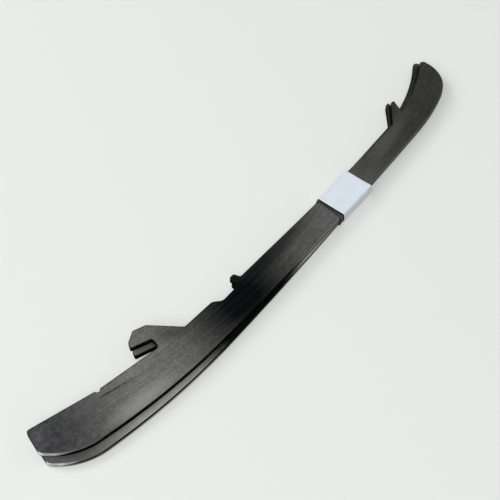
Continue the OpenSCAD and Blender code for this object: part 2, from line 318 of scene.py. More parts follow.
# %% [markdown]
# Dark ground steel shows what hangs over it. Strips of light hang across the line of the runners, over
# the toe and beyond, each with its own brightness. The steel mirrors them toward the camera in order:
# three at the heel, brighter in steps from its end to the hook, then a gap that leaves the middle
# nearly black, then one at the waist. The toe sees little. One large lamp would make it all one grey.

# %% Strips that the steel mirrors
strip_height = 1.0
strip_middle = 0.1
strip_length = 1.7
strip_spans = [("heel_end_strip", 0.03, 0.13, 0.16), ("heel_strip", 0.13, 0.215, 0.66),
               ("hook_strip", 0.215, 0.30, 1.05), ("waist_strip", 0.57, 0.68, 0.85),
               ("toe_strip", 0.86, 1.06, 0.03)]
for name, start, end, brightness in strip_spans:
    along = (start + end) / 2
    power = brightness * math.pi * (end - start) * strip_length
    soft_lamp(name, (along, strip_middle, strip_height), (along, strip_middle, 0),
              (end - start, strip_length), power)
print("strips:", [span[0] for span in strip_spans])

# %% [markdown]
# Seen from a low viewpoint, a flat steel face mirrors what stands near the horizon. Dim panels round
# the table keep the steel grey from every side. They stand too low to be mirrored from above.

# %% Panels near the horizon
panel_distance = 1.75
panel_centre = 0.85
panel_size = (1.1, 1.0)
panel_spans = [("toe_panel", 0, 0.7), ("toe_ice_panel", -45, 0.9), ("heel_ice_panel", -135, 0.4),
               ("heel_panel", 180, 0.35), ("heel_holder_panel", 135, 0.35)]
for name, heading, brightness in panel_spans:
    angle = math.radians(heading)
    spot = (panel_distance * math.cos(angle), panel_distance * math.sin(angle), panel_centre)
    power = brightness * math.pi * panel_size[0] * panel_size[1]
    soft_lamp(name, spot, lamp_aim, panel_size, power)
print("panels:", [span[0] for span in panel_spans])

# %% [markdown]
# ## Where a point lies on a runner
#
# Wear follows the runner, not the room: it is measured along the steel from the heel end and up
# from the ice edge. Both runners are the same piece, so each gets a mapping that lays it straight
# with its heel end at zero. The lower one is turned back by the swivel's full range first.

# %% Runner coordinates
swivel = frame["joints"][0]
lower_turn = -min(swivel["range_deg"])


def runner_mapping(node, turned):
    """Rotation in degrees and shift in millimetres that lay a runner straight, heel end at zero."""
    back = Matrix.Rotation(math.radians(-turned), 3, "Z")
    points = [back @ vertex.co for vertex in frame["nodes"][node].data.vertices]
    lowest = [min(point[axis] for point in points) / MM for axis in range(3)]
    return -turned, [-value for value in lowest]


upper_mapping = runner_mapping("upper_runner", 0)
lower_mapping = runner_mapping("lower_runner", lower_turn)
print("upper runner", upper_mapping, "lower runner", lower_mapping)

# %% [markdown]
# In a material the mapping becomes a node that turns a point into millimetres on the runner: X goes
# toward the toe, Y up from the ice edge and Z through the thickness of the steel.

# %% Places in a material
def laid_straight(tree, turned=0, shift=(0, 0, 0)):
    """The place of a point in millimetres, turned in degrees and shifted."""
    where = place(tree, "ShaderNodeTexCoord").outputs["Object"]
    return place(tree, "ShaderNodeMapping",
                 {"Vector": where, "Scale": (1 / MM,) * 3, "Rotation": (0, 0, math.radians(turned)),
                  "Location": shift}).outputs[0]


def axes(tree, vector):
    """The three numbers of a vector, as the sockets X, Y and Z."""
    return place(tree, "ShaderNodeSeparateXYZ", {0: vector}).outputs


print("places are read in steps of", MM, "metres")

# %% [markdown]
# ## Shared effect: grinding lines
#
# The faces of a runner are ground lengthwise along its long curve, which leaves fine streaks. A
# picture of brushed metal would do on flat faces only. Here a point is first read as a place on a
# large circle, with its way along the arc and its distance from the centre. Noise that is stretched
# along the arc then gives streaks that follow the curve on every face, walls included.

# %% Grinding lines group
curve_centre = (143.0, 480.0)
curve_radius = 480.0
fine_scale = 2.7

lines_group, given, result = new_group(
    "grinding_lines",
    [("Place", VECTOR, (0, 0, 0)), ("Line width", FLOAT, 0.5), ("Line length", FLOAT, 40.0)],
    [("Lines", FLOAT), ("Fine lines", FLOAT)])
tree = lines_group
spot = axes(tree, given["Place"])
aside = math_node(tree, "SUBTRACT", spot["X"], curve_centre[0])
below = math_node(tree, "SUBTRACT", curve_centre[1], spot["Y"])
arc = math_node(tree, "MULTIPLY", math_node(tree, "ARCTAN2", aside, below), curve_radius)
below_squared = math_node(tree, "MULTIPLY", below, below)
distance = math_node(tree, "SQRT", math_node(tree, "MULTIPLY_ADD", aside, aside, below_squared))
stretched = place(tree, "ShaderNodeCombineXYZ",
                  {"X": math_node(tree, "DIVIDE", arc, given["Line length"]),
                   "Y": math_node(tree, "DIVIDE", distance, given["Line width"]),
                   "Z": math_node(tree, "DIVIDE", spot["Z"], given["Line width"])}).outputs[0]
broad = place(tree, "ShaderNodeTexNoise",
              {"Vector": stretched, "Scale": 1.0, "Detail": 3.0, "Roughness": 0.65})
fine = place(tree, "ShaderNodeTexNoise",
             {"Vector": stretched, "Scale": fine_scale, "Detail": 2.0, "Roughness": 0.6})
tree.links.new(broad.outputs[0], result["Lines"])
tree.links.new(fine.outputs[0], result["Fine lines"])
print("group", lines_group.name)

# %% [markdown]
# ## Shared effect: clouds
#
# Handling, damp and old oil leave soft patches on steel, and paper and tape are never even either.
# One noise with a soft threshold gives such patches to every material, each at its own size.

# %% Clouds group
clouds_group, given, result = new_group(
    "clouds",
    [("Place", VECTOR, (0, 0, 0)), ("Size", FLOAT, 10.0), ("From", FLOAT, 0.4), ("To", FLOAT, 0.7)],
    [("Mask", FLOAT)])
tree = clouds_group
scale = math_node(tree, "DIVIDE", 1.0, given["Size"])
patches = place(tree, "ShaderNodeTexNoise",
                {"Vector": given["Place"], "Scale": scale, "Detail": 4.0, "Roughness": 0.6})
soft = place(tree, "ShaderNodeMapRange",
             {"Value": patches.outputs[0], "From Min": given["From"], "From Max": given["To"]},
             interpolation_type="SMOOTHSTEP")
tree.links.new(soft.outputs[0], result["Mask"])
print("group", clouds_group.name)

# %% [markdown]
# ## Shared effect: polished edges
#
# Use rubs the corners of the steel bright and takes their sharpness off. The Bevel node looks at
# the faces near each point and gives the normal of a slightly rounded corner. Where that normal
# differs from the flat one there is an edge, which gives the mask for free.

# %% Polished edges group
edge_likeness = (0.995, 0.8)
edge_samples = 6

edges_group, given, result = new_group(
    "polished_edges", [("Radius", FLOAT, 0.35 * MM)], [("Edge", FLOAT), ("Normal", VECTOR)])
tree = edges_group
rounded = place(tree, "ShaderNodeBevel", {"Radius": given["Radius"]}, samples=edge_samples)
flat = place(tree, "ShaderNodeNewGeometry")
likeness = place(tree, "ShaderNodeVectorMath", {0: rounded.outputs[0], 1: flat.outputs["Normal"]},
                 operation="DOT_PRODUCT")
tree.links.new(ramp(tree, likeness.outputs["Value"], *edge_likeness), result["Edge"])
tree.links.new(rounded.outputs[0], result["Normal"])
print("group", edges_group.name)

# %% [markdown]
# ## Steel: faces and walls
#
# Runner steel is a dark stainless steel. Its faces and its ice edge are ground, while the holder
# edge, the hooks and the slot keep the dark skin of the cut. It could be split into pieces with a
# material each, but wear crosses every border, so one material covers a whole runner and masks tell
# its areas apart. They come from the normal, which says where a surface looks, and from the place.

# %% Walls and the holder's side
wall_lean = (0.9, 0.6)
holder_lean = (0.02, 0.2)
hooks_above = 12.0
hooks_from = 40.0
hooks_to = 265.0
heel_end_to = (14.0, 10.0)
heel_end_below = (25.0, 21.0)
heelward_weight = 1.2
back_lean = (0.35, 0.65)


def wall_mask(tree, facing):
    """Where a surface stands upright instead of lying flat."""
    return ramp(tree, math_node(tree, "ABSOLUTE", facing["Z"]), *wall_lean)


def holder_mask(tree, spot, facing):
    """The holder's side: what looks away from the ice, and the hooks all round, but not the heel end."""
    away = ramp(tree, facing["Y"], *holder_lean)
    hooks = all_of(tree, math_node(tree, "GREATER_THAN", spot["Y"], hooks_above),
                   math_node(tree, "GREATER_THAN", spot["X"], hooks_from),
                   math_node(tree, "LESS_THAN", spot["X"], hooks_to))
    heel_end = all_of(tree, ramp(tree, spot["X"], *heel_end_to), ramp(tree, spot["Y"], *heel_end_below))
    return all_of(tree, any_of(tree, away, hooks), outside(tree, heel_end))


def back_mask(tree, facing):
    """Where a surface looks straight away from the ice, and not toward the heel."""
    heelward = math_node(tree, "MINIMUM", facing["X"], 0.0)
    lean = math_node(tree, "MULTIPLY_ADD", heelward, heelward_weight, facing["Y"])
    return ramp(tree, lean, *back_lean)


print("the hooks lie above", hooks_above, "mm")

# %% [markdown]
# ## Steel: rubbed walls
#
# On the ice side, use has rubbed the skin off again in places: round the heel end, which knocks
# against things, along the upper part of the waist, and at the foot of the lower runner's wall,
# which slides on the table.

# %% Rubbed walls
heel_rub_to = (26.0, 14.0)
heel_rub_rise = (2.1, 2.6)
end_rub_to = (9.0, 3.0)
end_rub_drop = 1.7
waist_rub_from = (138.0, 156.0)
waist_rub_to = (192.0, 182.0)
waist_rub_rise = (0.8, 2.7)
foot_fade = 0.5
foot_to = (150.0, 130.0)


def rubbed_heel(tree, spot):
    """The upper part of the heel's wall, and most of the wall at the very end."""
    level = math_node(tree, "MULTIPLY_ADD", ramp(tree, spot["X"], *end_rub_to), end_rub_drop, spot["Z"])
    return all_of(tree, ramp(tree, spot["X"], *heel_rub_to), ramp(tree, level, *heel_rub_rise))


def rubbed_waist(tree, spot, strength):
    """The waist's wall, more so toward its upper corner."""
    return all_of(tree, stretch(tree, spot["X"], waist_rub_from, waist_rub_to),
                  ramp(tree, spot["Z"], *waist_rub_rise, 0.0, strength))


def bare_foot(tree, spot, height):
    """The lowest part of the wall, from the heel to the middle."""
    return all_of(tree, ramp(tree, spot["Z"], height + foot_fade, height), ramp(tree, spot["X"], *foot_to))


print("the heel is rubbed as far as", heel_rub_to[0], "mm")

# %% [markdown]
# All areas of one runner are gathered here. The finishes that follow ask only for an area by name.

# %% Areas of a runner
def steel_areas(tree, spot, edges, finish):
    """The masks of one runner: its sides, its skin of the cut, and where wear took that off."""
    facing = axes(tree, edges["Normal"])
    wall = wall_mask(tree, facing)
    holder_side = holder_mask(tree, spot, facing)
    ice_side = outside(tree, holder_side)
    rubbed_wall = any_of(tree, rubbed_heel(tree, spot), rubbed_waist(tree, spot, finish.waist_rub))
    bare_wall = any_of(tree, rubbed_wall, bare_foot(tree, spot, finish.bare_foot))
    worn = any_of(tree, all_of(tree, edges["Edge"], ice_side), all_of(tree, ice_side, rubbed_wall, wall))
    skin = all_of(tree, wall, outside(tree, all_of(tree, ice_side, bare_wall)))
    return SimpleNamespace(holder_side=holder_side, ice_side=ice_side, worn=worn, skin=skin,
                           back=back_mask(tree, facing))


print("areas: holder side, ice side, worn steel, skin and back walls")

# %% [markdown]
# ## Steel: ground faces
#
# A ground face is never one grey. Streaks run along it, fine grain and mottles break them up, stains
# spread over both, and a few bright scratches lie on top. Each is one of the shared effects at its
# own size in millimetres. The lower runner reads them at another depth, so the two differ.

# %% Marks of grinding and use
def place_group(tree, group, laid, **values):
    """Adds a shared effect to a material, with its own values, and gives its outputs."""
    node = place(tree, "ShaderNodeGroup", node_tree=group)
    tree.links.new(laid, node.inputs["Place"])
    for name, value in values.items():
        node.inputs[name.replace("_", " ")].default_value = value
    return node.outputs


def surface_marks(tree, laid, depth):
    """The shared effects on one runner, by name, read at a depth of its own."""
    own = place(tree, "ShaderNodeVectorMath", {0: laid, 1: (0, 0, depth)}).outputs[0]
    ground = place_group(tree, lines_group, own, Line_width=0.4, Line_length=22.0)
    return SimpleNamespace(
        lines=ground["Lines"],
        fine=ground["Fine lines"],
        scratches=place_group(tree, lines_group, own, Line_width=0.22, Line_length=30.0)["Lines"],
        streaks=place_group(tree, lines_group, own, Line_width=1.5, Line_length=60.0)["Lines"],
        stain=place_group(tree, clouds_group, own, Size=14.0)["Mask"],
        mottle=place_group(tree, clouds_group, own, Size=2.2, From=0.42, To=0.64)["Mask"],
        blotches=place_group(tree, clouds_group, own, Size=2.2, From=0.40, To=0.62)["Mask"],
        grain=place_group(tree, clouds_group, own, Size=0.8, From=0.35, To=0.65)["Mask"])


print("marks come from the groups", lines_group.name, "and", clouds_group.name)

# %% [markdown]
# The marks are laid over each other as thin coats, from the streaks up. A coat is a strength and a
# tone, and its mark is the mask that it shows through.

# %% Colour of a ground face
line_contrast = (0.32, 0.68)
scratch_from = (0.66, 0.74)
grain_coat = (0.55, tone(0.19))
mottle_coat = (0.36, tone(0.17, 0.17, 0.185))
stain_coat = (0.3, tone(0.18, 0.18, 0.19))
scratch_coat = (0.5, tone(0.66, 0.66, 0.62))


def ground_colour(tree, marks, finish):
    """Streaked steel with grain, mottles, stains and scratches over it."""
    streaked = mixed(tree, ramp(tree, marks.lines, *line_contrast), finish.dark, finish.light)
    scratches = ramp(tree, marks.scratches, *scratch_from)
    return layered(tree, streaked, [(marks.grain, *grain_coat), (marks.mottle, *mottle_coat),
                                    (marks.stain, *stain_coat), (scratches, *scratch_coat)])


print("four coats over the streaks, scratches last")

# %% [markdown]
# ## Steel: tints
#
# Wide tints change the tone of the steel along its length: a dark middle, a dull heel end, and
# lighter stretches between. The dark middle is a painted dark reflection. Two darker patches, by
# the root of the heel hook and along the holder edge at the waist, are painted shade, and a pale
# patch at the lower runner's waist is a painted highlight. Tints could be painted on an image, but
# an oval patch with a centre, a reach and a turn is enough. It is full inside a hard share of its
# reach, and its border is ragged along the streaks.

# %% Tint patches
Tint = namedtuple("Tint", "centre reach turned hard amount tones")
patch_raggedness = 0.35
all_depths = 1e6
# How streaks mix two tones of a tint; only the painted dark reflection in the middle has two.
two_tone_mix = (0.36, 0.66)


def soft_patch(tree, laid, streaks, tint):
    """An oval mask that fades out from a share of its reach, in streaks."""
    local = place(tree, "ShaderNodeMapping",
                  {"Vector": laid, "Location": (*tint.centre, 0),
                   "Rotation": (0, 0, math.radians(tint.turned)),
                   "Scale": (*tint.reach, all_depths)}, vector_type="TEXTURE").outputs[0]
    size = place(tree, "ShaderNodeVectorMath", {0: local}, operation="LENGTH").outputs["Value"]
    ragged = math_node(tree, "MULTIPLY_ADD", streaks, patch_raggedness, size)
    return ramp(tree, ragged, 1.0 + patch_raggedness / 2, tint.hard + patch_raggedness / 2)


def tint_tone(tree, streaks, tint):
    """The colour of a tint: one for all of it, or two that its streaks mix."""
    if len(tint.tones) == 1:
        return tint.tones[0]
    return mixed(tree, ramp(tree, streaks, *two_tone_mix), *tint.tones)


def tinted(tree, laid, streaks, colour, tints):
    """A colour with tints over it, from first to last, and the mask of the last one."""
    patches = [soft_patch(tree, laid, streaks, tint) for tint in tints]
    layers = [(patch, tint.amount, tint_tone(tree, streaks, tint)) for patch, tint in zip(patches, tints)]
    return layered(tree, colour, layers), patches[-1]


print("a tint has", Tint._fields)

# %% [markdown]
# The tints of each runner, in the order in which they lie on each other. Centres and reaches are in
# millimetres on the runner, turns in degrees. The last one is the dark middle, a painted dark
# reflection: two tones mixed in streaks on the upper runner, and one plain tone on the lower one.

# %% Tints of both runners
# The two tones of the dark middle, a painted dark reflection.
dark_reflection_tone = tone(0.008, 0.009, 0.011)
bluish_reflection_tone = tone(0.026, 0.037, 0.049)
upper_tints = [
    Tint((246.0, 14.0), (56.0, 30.0), 0.0, 0.7, 0.3, [tone(0.12)]),
    Tint((2.0, 30.0), (50.0, 26.0), -15.0, 0.25, 0.8, [tone(0.165, 0.167, 0.180)]),
    Tint((1.5, 31.0), (11.0, 8.0), 0.0, 0.3, 0.6, [tone(0.40, 0.40, 0.45)]),
    Tint((44.0, 8.0), (22.0, 6.0), -8.0, 0.25, 0.5, [tone(0.72, 0.72, 0.66)]),
    Tint((236.0, 12.0), (24.0, 6.0), 8.0, 0.25, 0.3, [tone(0.80, 0.80, 0.76)]),
    # Painted shade by the root of the heel hook.
    Tint((78.0, 21.0), (10.0, 5.0), -30.0, 0.2, 0.5, [tone(0.09)]),
    # Painted shade along the holder edge at the waist.
    Tint((142.0, 13.0), (40.0, 6.5), 2.0, 0.3, 0.82, [tone(0.06, 0.065, 0.065)]),
    # The dark middle: a painted dark reflection, in streaks of two tones.
    Tint((112.0, 8.0), (35.0, 30.0), 0.0, 0.25, 0.96, [dark_reflection_tone, bluish_reflection_tone])]
lower_tints = [
    Tint((46.0, 6.0), (46.0, 60.0), 0.0, 0.6, 0.65, [tone(0.48, 0.48, 0.44)]),
    Tint((66.0, 27.0), (16.0, 9.0), 0.0, 0.4, 0.8, [tone(0.13, 0.13, 0.12)]),
    Tint((0.0, 12.0), (40.0, 60.0), 0.0, 0.3, 0.88, [tone(0.105, 0.105, 0.11)]),
    # Painted highlight by the ice edge at the lower runner's waist.
    Tint((166.0, 2.0), (26.0, 14.0), 0.0, 0.6, 0.9, [tone(0.95, 0.95, 0.90)]),
    # The dark middle: a painted dark reflection, in one tone.
    Tint((112.0, 0.0), (38.0, 30.0), 0.0, 0.5, 0.97, [tone(0.012, 0.013, 0.015)])]
print(len(upper_tints), "tints on the upper runner and", len(lower_tints), "on the lower one")

# %% [markdown]
# ## Steel: a rubbed line
#
# A runner in use gets a mark of its own: the holder rubs a dark, broken line into the face below
# the heel hook. A crack in the geometry would be too deep, so it is a thin mask along a slanted
# line, wider at its start, with gaps where the mottles are.

# %% Rubbed line
rub_start = Vector((35.5, 23.0))
rub_end = Vector((51.2, 18.3))
rub_widths = (0.9, 0.48)
rub_core = 0.25
rub_fade_in = (-2, 1)
rub_fade_out = (2, -3)
rub_breaks = (1.2, 0.3)
rub_coat = (0.85, tone(0.045))


def rub_line(tree, laid, mottle):
    """The broken line that a holder rubs into the face."""
    run = rub_end - rub_start
    local = axes(tree, place(tree, "ShaderNodeMapping",
                             {"Vector": laid, "Location": (*rub_start, 0),
                              "Rotation": (0, 0, math.atan2(run.y, run.x))},
                             vector_type="TEXTURE").outputs[0])
    width = ramp(tree, local["X"], 0.0, run.length, *rub_widths)
    from_line = math_node(tree, "DIVIDE", math_node(tree, "ABSOLUTE", local["Y"]), width)
    ends = [run.length + shift for shift in rub_fade_out]
    span = stretch(tree, local["X"], rub_fade_in, ends)
    return all_of(tree, ramp(tree, from_line, 1.0, rub_core), span, ramp(tree, mottle, *rub_breaks))


print("rubbed line of", round((rub_end - rub_start).length, 1), "mm")

# %% [markdown]
# ## Steel: blotches, dark rims and painted corner shade
#
# The heel end is blotched. The rim of the holder edge is darkened, most of all toward both ends:
# dark skin of the cut, and at the toe also painted shade between the runners. Painted shade lies in
# the corners near the toe. The rim is found with a wider rounding of the edges, and corners with
# Ambient Occlusion, which measures how closed in a point is.

# %% Blotches, rims and painted corner shade
blotch_to = (34.0, 10.0)
blotch_tone = tone(0.055, 0.056, 0.06)
rim_radius = 1.1 * MM
rim_lean = (0.02, 0.12)
rim_edge = (0.05, 0.5)
toe_rim_from = (236.0, 250.0)
toe_rim_strength = (0.5, 0.9)
heel_rim_to = (112.0, 92.0)
heel_rim_strength = (0.5, 0.95)
# Painted shade in the corners near the toe, found by Ambient Occlusion.
corner_shade_reach = 1.4 * MM
corner_shade_samples = 8
corner_shade_openness = (0.9, 0.6)
corner_shade_from = (222.0, 238.0)
# Tone of the dark rim, which is partly painted shade, and of the painted corner shade.
rim_and_shade_tone = tone(0.03, 0.03, 0.033)


def rim_and_corner_shade(tree, spot, holder_side):
    """Dark skin and, at the toe, painted shade on the holder edge's rim, and painted shade in the toe's
    corners.
    """
    edges = place(tree, "ShaderNodeGroup", {"Radius": rim_radius}, node_tree=edges_group).outputs
    above = any_of(tree, holder_side, ramp(tree, axes(tree, edges["Normal"])["Y"], *rim_lean))
    dark_rim = all_of(tree, ramp(tree, edges["Edge"], *rim_edge), above)
    at_ends = any_of(tree, ramp(tree, spot["X"], *toe_rim_from, *toe_rim_strength),
                     ramp(tree, spot["X"], *heel_rim_to, *heel_rim_strength))
    openness = place(tree, "ShaderNodeAmbientOcclusion", {"Distance": corner_shade_reach},
                     samples=corner_shade_samples).outputs["AO"]
    corner_shade = all_of(tree, ramp(tree, openness, *corner_shade_openness), ramp(tree, spot["X"], *corner_shade_from))
    return any_of(tree, all_of(tree, dark_rim, at_ends), corner_shade)


def face_colour(tree, laid, spot, marks, areas, finish):
    """The colour of a face with all that lies on it, and the mask of its dark middle, a painted dark
    reflection.
    """
    ground = ground_colour(tree, marks, finish)
    colour, middle = tinted(tree, laid, marks.streaks, ground, finish.tints)
    colour = layered(tree, colour, [(rub_line(tree, laid, marks.mottle), *rub_coat)])
    blotched = all_of(tree, marks.blotches, ramp(tree, spot["X"], *blotch_to, 0.0, finish.blotch))
    colour = mixed(tree, blotched, colour, blotch_tone)
    # Last the dark rim, with painted shade at the toe, and the painted shade in the toe's corners.
    return mixed(tree, rim_and_corner_shade(tree, spot, areas.holder_side), colour, rim_and_shade_tone), middle


print("blotches as far as", blotch_to[0], "mm, grime from", corner_shade_from[0], "mm")

# %% [markdown]
# ## Steel: the skin of the cut
#
# The skin that a cut leaves is matt and mostly black: partly the cut's own dark oxide, and partly
# painted shade, which also lies on the ground ice wall. From the waist to the toe the ice wall is
# greyer, and each runner has its own tone at the waist, where the lower one shows a painted
# highlight along its upper rim. Walls on the back of the holder edge are dark grey.

# %% Skin colours
# The black of the skin: partly the cut's dark oxide, partly painted shade.
cut_and_shade_tones = (tone(0.003), tone(0.009))
toe_wall_from = (196.0, 206.0)
toe_wall_to = (284.0, 268.0)
toe_wall_tone = tone(0.13, 0.13, 0.125)
waist_wall_from = (138.0, 152.0)
waist_wall_to = (206.0, 196.0)
back_tones = (tone(0.14, 0.14, 0.137), tone(0.09))


def skin_colour(tree, spot, mottle, areas, finish):
    """The skin of the cut, partly painted shade, as it changes along the ice wall and on the back walls.
    """
    toe_wall = all_of(tree, stretch(tree, spot["X"], toe_wall_from, toe_wall_to), areas.ice_side)
    waist_wall = all_of(tree, stretch(tree, spot["X"], waist_wall_from, waist_wall_to),
                        ramp(tree, spot["Z"], *finish.waist_rise), areas.ice_side)
    ice_wall = mixed(tree, toe_wall, mixed(tree, mottle, *cut_and_shade_tones), toe_wall_tone)
    # The waist tone: an even grey on the upper runner, a painted highlight along the wall's upper rim on
    # the lower one.
    ice_wall = mixed(tree, waist_wall, ice_wall, finish.waist_wall)
    return mixed(tree, areas.back, ice_wall, mixed(tree, mottle, *back_tones))


print("skin from", cut_and_shade_tones[0][0], "to", back_tones[0][0])

# %% [markdown]
# ## Steel: glints and film
#
# Where an edge was rubbed not long ago it still glints, at the heel end and from the waist on. The
# lower runner's heel and waist carry a dull film of oil and dust, which covers a share of the metal.
# A film could be a second shader mixed in, but a lower Metallic value in the one shader is enough.

# %% Glints and film
end_glint_to = (3.0, 9.0)
end_glint_strength = (1.0, 0.1)
waist_glint_from = (120.0, 145.0)
waist_glint_strength = (0.0, 0.85)
glint_mottle = (0.0, 0.8)
glint_strength = (0.5, 1.0)
glint_tone = tone(0.80, 0.80, 0.75)
heel_film_to = (92.0, 62.0)
waist_film_from = (136.0, 150.0)
waist_film_to = (206.0, 190.0)


def glint_mask(tree, spot, rubbed, mottle):
    """Where rubbed steel is still bright."""
    recent = any_of(tree, ramp(tree, spot["X"], *end_glint_to, *end_glint_strength),
                    ramp(tree, spot["X"], *waist_glint_from, *waist_glint_strength))
    return all_of(tree, rubbed, recent, ramp(tree, mottle, *glint_mottle, *glint_strength))


def film_mask(tree, spot, strength):
    """The dull film on the heel and the waist."""
    filmed = any_of(tree, ramp(tree, spot["X"], *heel_film_to),
                    stretch(tree, spot["X"], waist_film_from, waist_film_to))
    return all_of(tree, filmed, strength)


print("film as far as", heel_film_to[0], "mm and from", waist_film_from[0], "mm")

# %% [markdown]
# ## Steel: the whole material
#
# Steel is a metal, so its brightness comes from what it mirrors. The grinding lines spread that
# mirror image across them. Anisotropic does the same in the shader, along a tangent that is square to
# the length of the runner. Skin and film take metal away, and skin is rougher too. Real grooves would
# need millions of faces, so they are a bump.

# %% Steel material
edge_radius = 0.22 * MM
gloss_contrast = (0.3, 0.7)
gloss_range = (0.30, 0.38)
skin_dullness = 0.2
groove_strength = 0.08
groove_depth = 0.05 * MM
along_runner = (1, 0, 0)


def steel_material(name, mapping, finish):
    """Ground and worn runner steel, laid out along one runner."""
    material, tree, shader = new_material(name)
    laid = laid_straight(tree, *mapping)
    spot = axes(tree, laid)
    marks = surface_marks(tree, laid, finish.depth)
    edges = place(tree, "ShaderNodeGroup", {"Radius": edge_radius}, node_tree=edges_group).outputs
    areas = steel_areas(tree, spot, edges, finish)

    colour, middle = face_colour(tree, laid, spot, marks, areas, finish)
    colour = mixed(tree, areas.skin, colour, skin_colour(tree, spot, marks.mottle, areas, finish))
    rubbed = all_of(tree, areas.worn, outside(tree, middle))
    colour = mixed(tree, glint_mask(tree, spot, rubbed, marks.mottle), colour, glint_tone)
    tree.links.new(colour, shader.inputs["Base Color"])

    bare = outside(tree, all_of(tree, areas.skin, outside(tree, rubbed)))
    metal = all_of(tree, bare, outside(tree, film_mask(tree, spot, finish.film)))
    tree.links.new(metal, shader.inputs["Metallic"])
    gloss = ramp(tree, marks.fine, *gloss_contrast, *gloss_range)
    rough = math_node(tree, "MULTIPLY_ADD", areas.skin, skin_dullness, gloss)
    tree.links.new(rough, shader.inputs["Roughness"])

    grooves = place(tree, "ShaderNodeBump", {"Height": marks.fine, "Strength": groove_strength,
                                             "Distance": groove_depth, "Normal": edges["Normal"]})
    tree.links.new(grooves.outputs[0], shader.inputs["Normal"])
    flat = place(tree, "ShaderNodeNewGeometry").outputs["Normal"]
    across = place(tree, "ShaderNodeVectorMath", {0: flat, 1: along_runner}, operation="CROSS_PRODUCT")
    tree.links.new(across.outputs[0], shader.inputs["Tangent"])
    shader.inputs["Specular IOR Level"].default_value = 0.0
    shader.inputs["Anisotropic"].default_value = 1.0
    return material


print("edges rounded by", edge_radius / MM, "mm")

# %% [markdown]
# The two runners differ only in the values of their finish. The lower runner's tones are lighter:
# painted light against the shade that the upper runner casts on it. A bare foot or a waist tone
# that starts below zero lies under the steel: the upper runner has no bare foot, and its waist wall
# is even.

# %% Steel on both runners
upper_finish = SimpleNamespace(depth=0.0, dark=tone(0.29, 0.29, 0.263), light=tone(0.52, 0.52, 0.472),
                               tints=upper_tints, blotch=0.4, bare_foot=-2.0, waist_rub=0.2,
                               waist_wall=tone(0.13, 0.13, 0.125), waist_rise=(-1.0, -0.5), film=0.0)
# Lighter tones: painted light against the upper runner's shade. The pale waist wall is a painted
# highlight.
lower_finish = SimpleNamespace(depth=37.0, dark=tone(0.44, 0.44, 0.39), light=tone(0.68, 0.68, 0.61),
                               tints=lower_tints, blotch=0.12, bare_foot=0.8, waist_rub=0.0,
                               waist_wall=tone(0.45, 0.45, 0.43), waist_rise=(0.8, 1.8), film=0.65)


def dress(node, material):
    """Gives a CAD node its finish."""
    piece = frame["nodes"][node]
    piece.data.materials.clear()
    piece.data.materials.append(material)


dress("upper_runner", steel_material("upper_steel", upper_mapping, upper_finish))
dress("lower_runner", steel_material("lower_steel", lower_mapping, lower_finish))
print("steel on both runners")

# %% [markdown]
# ## Wraps
#
# Tape and label are thin sheets bent round the pair. Cloth simulation would fit a loose wrap, but
# these lie tight, so their path round the steel is read from the exact pieces: the outer section of
# each is a ring of evenly spaced points.

# %% Section of a wrap
def section_ring(node, count):
    """The outer section of a wrap as evenly spaced (y, z) points, down the holder side first."""
    flat = [Vector((vertex.co.y, vertex.co.z)) for vertex in frame["nodes"][node].data.vertices]
    hull = [flat[i] for i in geometry.convex_hull_2d(flat)]
    area = sum(a.x * b.y - a.y * b.x for a, b in zip(hull, hull[1:] + hull[:1]))
    if area > 0:
        hull.reverse()
    top = max(range(len(hull)), key=lambda i: hull[i].x + hull[i].y)
    hull = hull[top:] + hull[:top]
    lengths = [(b - a).length for a, b in zip(hull, hull[1:] + hull[:1])]
    total = sum(lengths)
    ring = []
    side, passed = 0, 0.0
    for i in range(count):
        reach = total * i / count
        while passed + lengths[side] < reach:
            passed += lengths[side]
            side += 1
        ring.append(hull[side].lerp(hull[(side + 1) % len(hull)], (reach - passed) / lengths[side]))
    return ring, total


ring_points = 220
label_ring, label_round = section_ring("label_band", ring_points)
tape_ring, tape_round = section_ring("binding_tape", ring_points)
print("label goes", round(label_round / MM, 2), "mm round, tape", round(tape_round / MM, 2), "mm")

# %% [markdown]
# A sheet is a grid along such a ring and across its width. Two functions shape it: one gives the
# sheet's edges at each step round the ring, and one how far each point is lifted off it. Both are
# handed the same things for every sheet, whether they need them or not. A Solidify modifier then
# gives the thickness, and its result is kept as the mesh.

# %% Normals and thickness of a sheet
def ring_normals(ring):
    """Outward normals of a ring of points that runs clockwise."""
    steps = [after - before for before, after in zip(ring[-1:] + ring[:-1], ring[1:] + ring[:1])]
    return [Vector((-step.y, step.x)).normalized() for step in steps]


def thickened(piece, thickness):
    """Gives a sheet its thickness, inward, as a mesh of its own."""
    solid = piece.modifiers.new("thickness", "SOLIDIFY")
    solid.thickness = thickness
    solid.offset = -1
    shaped = piece.evaluated_get(bpy.context.evaluated_depsgraph_get())
    mesh = bpy.data.meshes.new_from_object(shaped)
    piece.modifiers.clear()
    piece.data = mesh
    mesh.name = piece.name
    mesh.shade_smooth()


print("normals for", len(ring_normals(label_ring)), "points")

# %% Sheet bent along a section
def bent_sheet(name, ring, around, across, edges, lift, thickness):
    """A sheet that follows a ring for a number of steps, its edges and lift given by functions."""
    normals = ring_normals(ring)
    points, faces = [], []
    for i in range(around + 1):
        spot, out = ring[i % len(ring)], normals[i % len(ring)]
        first, last = edges(i, spot)
        for j in range(across + 1):
            x = first + (last - first) * j / across
            y, z = spot + out * lift(i, j / across, x, spot, out)
            points.append((x, y, z))
    row = across + 1
    for i in range(around):
        for j in range(across):
            corner = i * row + j
            faces.append((corner, corner + 1, corner + row + 1, corner + row))
    mesh = bpy.data.meshes.new(name)
    mesh.from_pydata(points, [], faces)
    piece = bpy.data.objects.new(name, mesh)
    bpy.context.scene.collection.objects.link(piece)
    thickened(piece, thickness)
    return piece


